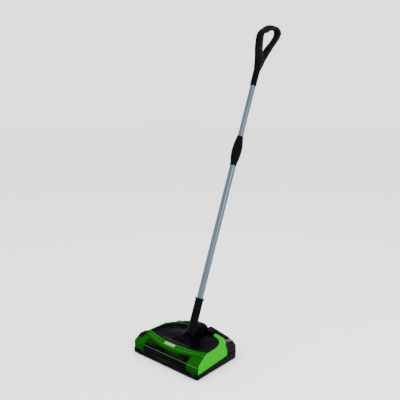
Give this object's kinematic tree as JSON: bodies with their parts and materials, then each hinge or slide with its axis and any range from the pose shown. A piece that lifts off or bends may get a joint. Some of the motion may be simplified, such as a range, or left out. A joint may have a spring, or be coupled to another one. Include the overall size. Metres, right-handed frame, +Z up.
{
  "type": "carpet sweeper",
  "caption": "Cordless powered carpet sweeper: low head with lime see-through dust bin and brush roll, tilting telescopic handle with twist collar and loop grip.",
  "frame": {"origin": "bottom centre of the whole box, on the floor", "axes": "+Z up, head wide along X, front of the head faces -Y and the handle leans towards +Y"},
  "size_m": [0.324, 0.7106, 1.2429],
  "materials": {
    "black_satin": "fine moulded satin black",
    "black_gloss": "polished black",
    "lime": "translucent lime green, polished",
    "lime_window": "dark translucent green, polished",
    "pale_plate": "plain brushed plate",
    "tube_metal": "blue-grey satin anodised",
    "steel": "bright turned steel",
    "silver_ring": "bright plated",
    "tyre_rubber": "soft matt rubber",
    "belt_rubber": "ribbed rubber",
    "bristle": "nylon filament",
    "brush_plastic": "moulded core",
    "grey_plastic": "moulded mid grey",
    "cell_wrap": "shrink sleeve",
    "board_green": "lacquered laminate",
    "bronze": "sintered bronze"
  },
  "bodies": {
    "base": {"base_chassis": "black_satin", "base_screws": "steel", "battery_cells": "cell_wrap", "battery_tray": "grey_plastic", "board_parts": "black_satin", "brush_bearing_left": "bronze", "brush_bearing_right": "bronze", "brush_hood": "black_satin", "button_bezel_left": "silver_ring", "button_bezel_right": "silver_ring", "charge_jack": "black_satin", "circuit_board": "board_green", "deck_cover": "black_gloss", "drive_belt": "belt_rubber", "motor_can": "steel", "motor_cradle": "grey_plastic", "motor_strap": "steel", "pivot_bracket_left": "steel", "pivot_bracket_right": "steel", "pivot_pin": "steel", "power_spring": "steel", "power_switch": "black_satin", "rear_housing": "black_satin", "release_lever": "grey_plastic", "release_spring": "steel", "roller_axles": "steel", "wheel_axles": "steel"},
    "bin": {"bin_bezel": "lime", "bin_window": "lime_window", "bin_trough": "black_satin", "badge_plate": "pale_plate", "bin_side_left": "lime", "bin_side_right": "lime"},
    "handle_lower": {"neck": "black_satin", "tube_screw": "steel", "neck_ring": "black_satin", "lower_tube": "tube_metal", "collar_base": "black_satin", "clamp_bush": "grey_plastic"},
    "collar": {"twist_collar": "black_satin"},
    "handle_upper": {"upper_tube": "tube_metal", "tube_plug": "grey_plastic", "grip_half_left": "black_satin", "grip_half_right": "black_satin", "grip_screws": "steel"},
    "brush": {"brush_shaft": "steel", "brush_core": "brush_plastic", "brush_pulley": "grey_plastic", "brush_bristles": "bristle"},
    "motor_rotor": {"motor_shaft": "steel", "motor_pulley": "bronze"},
    "wheel_left": {"wheel_tyre_left": "tyre_rubber", "wheel_hub_left": "grey_plastic"},
    "wheel_right": {"wheel_tyre_right": "tyre_rubber", "wheel_hub_right": "grey_plastic"},
    "roller_left": {"front_roller_left": "grey_plastic"},
    "roller_right": {"front_roller_right": "grey_plastic"},
    "power_key": {"power_button": "grey_plastic"},
    "release_key": {"release_button": "grey_plastic"},
    "latch": {"release_latch": "grey_plastic"}
  },
  "joints": [
    {"name": "handle_tilt", "type": "hinge", "parent": "base", "child": "handle_lower", "pos_m": [0, -0.173, 0.058], "axis": [-1, 0, 0], "range_deg": [-21.5, 64]},
    {"name": "tube_slide", "type": "slide", "parent": "handle_lower", "child": "handle_upper", "axis": [0, 0.3743, 0.9273], "range_m": [-0.2, 0]},
    {"name": "collar_twist", "type": "hinge", "parent": "handle_lower", "child": "collar", "pos_m": [0, 0.06786, 0.75605], "axis": [0, 0.3743, 0.9273], "range_deg": [0, 90]},
    {"name": "brush_spin", "type": "hinge", "parent": "base", "child": "brush", "pos_m": [0, -0.28, 0.03], "axis": [1, 0, 0], "continuous": true},
    {"name": "motor_spin", "type": "hinge", "parent": "base", "child": "motor_rotor", "pos_m": [0.068, -0.219, 0.033], "axis": [1, 0, 0], "continuous": true},
    {"name": "bin_lift", "type": "slide", "parent": "base", "child": "bin", "axis": [0, 0, 1], "range_m": [0, 0.09]},
    {"name": "power_press", "type": "slide", "parent": "base", "child": "power_key", "axis": [0, 0, -1], "range_m": [0, 0.003], "stiffness_N_per_m": 400, "springref_m": -0.002, "deforming": ["power_spring"]},
    {"name": "release_press", "type": "slide", "parent": "base", "child": "release_key", "axis": [0, 0, -1], "range_m": [0, 0.003], "stiffness_N_per_m": 400, "springref_m": -0.002, "deforming": ["release_spring"]},
    {"name": "latch_slide", "type": "slide", "parent": "base", "child": "latch", "axis": [0, 1, 0], "range_m": [0, 0.003]},
    {"name": "wheel_spin_left", "type": "hinge", "parent": "base", "child": "wheel_left", "pos_m": [-0.112, -0.144, 0.019], "axis": [1, 0, 0], "continuous": true},
    {"name": "roller_spin_left", "type": "hinge", "parent": "base", "child": "roller_left", "pos_m": [-0.128, -0.335, 0.0065], "axis": [1, 0, 0], "continuous": true},
    {"name": "wheel_spin_right", "type": "hinge", "parent": "base", "child": "wheel_right", "pos_m": [0.112, -0.144, 0.019], "axis": [1, 0, 0], "continuous": true},
    {"name": "roller_spin_right", "type": "hinge", "parent": "base", "child": "roller_right", "pos_m": [0.128, -0.335, 0.0065], "axis": [1, 0, 0], "continuous": true}
  ],
  "couplings": [
    {"joint": "motor_spin", "follows": "brush_spin", "ratio": 2},
    {"joint": "latch_slide", "follows": "release_press", "ratio": 0.8}
  ]
}
